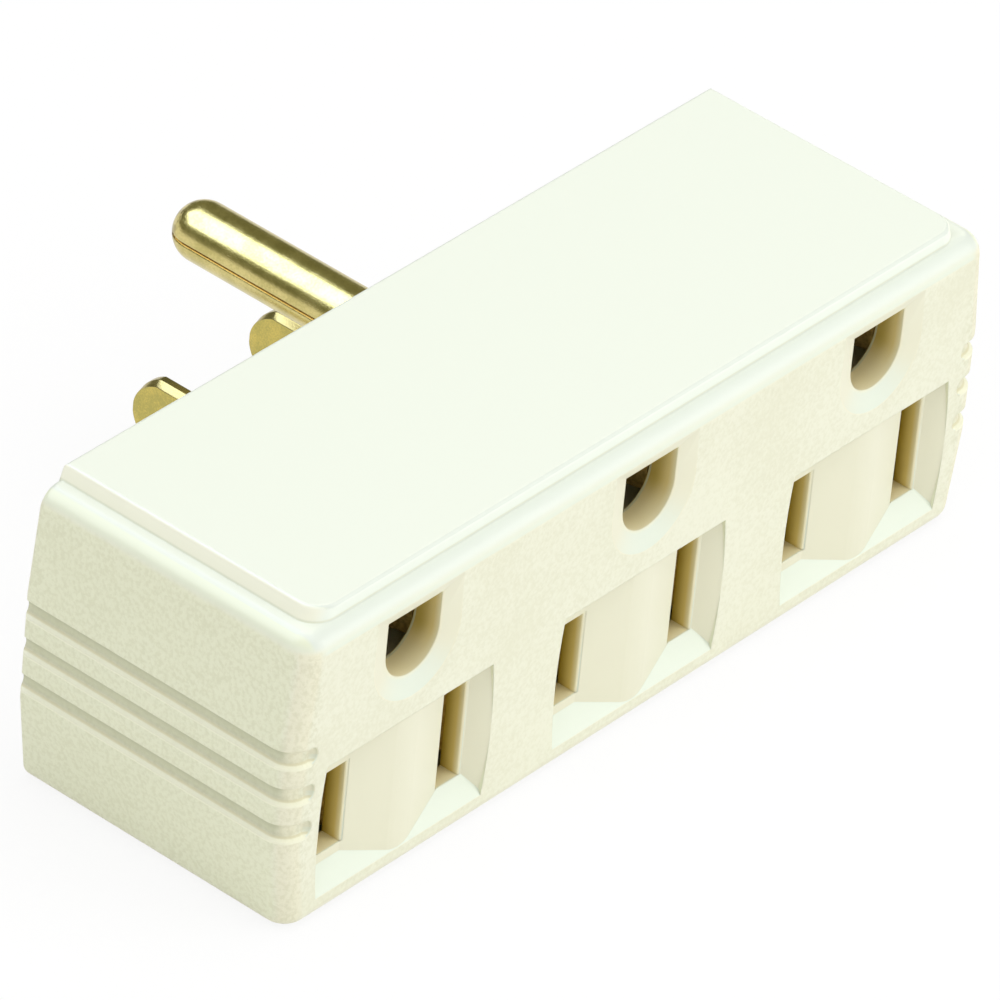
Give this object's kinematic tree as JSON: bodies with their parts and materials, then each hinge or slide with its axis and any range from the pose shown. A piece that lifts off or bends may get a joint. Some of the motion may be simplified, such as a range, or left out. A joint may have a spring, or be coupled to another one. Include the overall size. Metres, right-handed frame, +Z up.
{
  "type": "grounding plug adapter",
  "caption": "Block-shaped grounding adapter that turns one wall outlet into a row of outlets, with a blade plug and round grounding pin on its back.",
  "frame": {"origin": "on the back face of the body, midway between the two flat blades of the plug", "axes": "+X along the row of outlets to the right as one faces them, +Y out of the back along the plug, +Z up from the flat blades to the grounding pin"},
  "size_m": [0.0762, 0.0457, 0.0266],
  "materials": {
    "ivory_plastic": "satin, fine moulded grain on the ends and front, smooth top panel",
    "plug_brass": "drawn and tumbled",
    "contact_brass": "stamped strip",
    "rivet_brass": "headed wire"
  },
  "bodies": {
    "root": {"outlet_housing": "ivory_plastic", "rear_cover": "ivory_plastic", "ground_pin": "plug_brass", "line_blade": "plug_brass", "neutral_blade": "plug_brass", "line_strip": "contact_brass", "neutral_strip": "contact_brass", "ground_strip": "contact_brass", "line_clip_left": "contact_brass", "neutral_clip_left": "contact_brass", "ground_clip_left": "contact_brass", "line_clip_middle": "contact_brass", "neutral_clip_middle": "contact_brass", "ground_clip_middle": "contact_brass", "line_clip_right": "contact_brass", "neutral_clip_right": "contact_brass", "ground_clip_right": "contact_brass", "line_rivet_left": "rivet_brass", "neutral_rivet_left": "rivet_brass", "ground_rivet_left": "rivet_brass", "line_rivet_middle": "rivet_brass", "neutral_rivet_middle": "rivet_brass", "ground_rivet_middle": "rivet_brass", "line_rivet_right": "rivet_brass", "neutral_rivet_right": "rivet_brass", "ground_rivet_right": "rivet_brass"}
  },
  "joints": []
}
